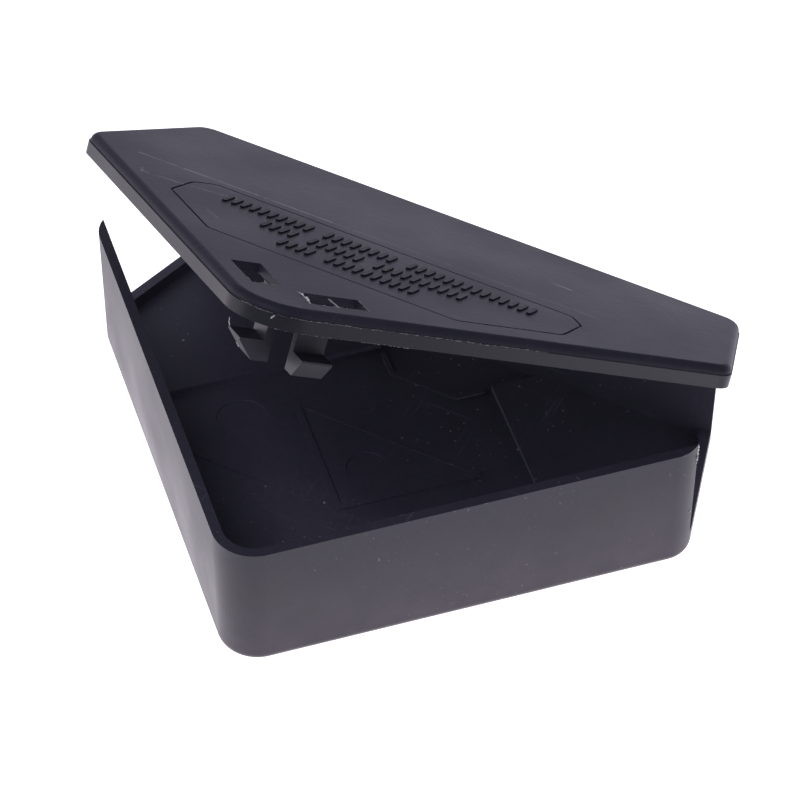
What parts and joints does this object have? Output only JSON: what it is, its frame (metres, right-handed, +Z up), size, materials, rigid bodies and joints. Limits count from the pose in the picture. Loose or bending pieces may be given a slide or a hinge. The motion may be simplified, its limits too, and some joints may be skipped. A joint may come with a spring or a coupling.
{
  "type": "bait station",
  "caption": "Triangular mouse bait station: low black tray with an entrance at each side corner and a hinged lid with snap hooks, lid propped open.",
  "frame": {"origin": "on the flat underside, on the mirror plane, halfway between the lid's square front corner and its hinge side", "axes": "+X to the right along the hinge side, +Y from the front corner to the hinge side, +Z up"},
  "size_m": [0.132, 0.092, 0.082],
  "materials": {
    "tray_plastic": "satin moulded black polypropylene, lightly scuffed",
    "lid_plastic": "satin moulded black polypropylene with a fine grain",
    "hook_plastic": "satin moulded black polypropylene",
    "hinge_plastic": "thin flexed black polypropylene web"
  },
  "bodies": {
    "tray": {"floor_pan": "tray_plastic", "front_wall": "tray_plastic", "rear_wall": "tray_plastic", "sill_left": "tray_plastic", "sill_right": "tray_plastic", "entrance_step_left": "tray_plastic", "entrance_step_right": "tray_plastic", "floor_ribs": "tray_plastic", "bait_pocket_rib": "tray_plastic", "hinge_flange": "tray_plastic", "catch_left": "tray_plastic", "catch_right": "tray_plastic"},
    "lid": {"lid_panel": "lid_plastic", "lid_skirt": "lid_plastic", "lid_marks": "lid_plastic", "hook_root_left": "lid_plastic", "hook_root_right": "lid_plastic", "hinge_web": "hinge_plastic"},
    "left_hook": {"hook_left": "hook_plastic"},
    "right_hook": {"hook_right": "hook_plastic"}
  },
  "joints": [
    {"name": "lid_hinge", "type": "hinge", "parent": "tray", "child": "lid", "pos_m": [0, 0.0469, 0.0303], "axis": [-1, 0, 0], "range_deg": [-32.7, 147.3], "deforming": ["hinge_web"]},
    {"name": "left_hook_flex", "type": "hinge", "parent": "lid", "child": "left_hook", "pos_m": [-0.00431, -0.01979, 0.07175], "axis": [0.7071, -0.595, 0.382], "range_deg": [0, 12], "stiffness_Nm_per_rad": 0.1},
    {"name": "right_hook_flex", "type": "hinge", "parent": "lid", "child": "right_hook", "pos_m": [0.00431, -0.01979, 0.07175], "axis": [0.7071, 0.595, -0.382], "range_deg": [0, 12], "stiffness_Nm_per_rad": 0.1}
  ]
}
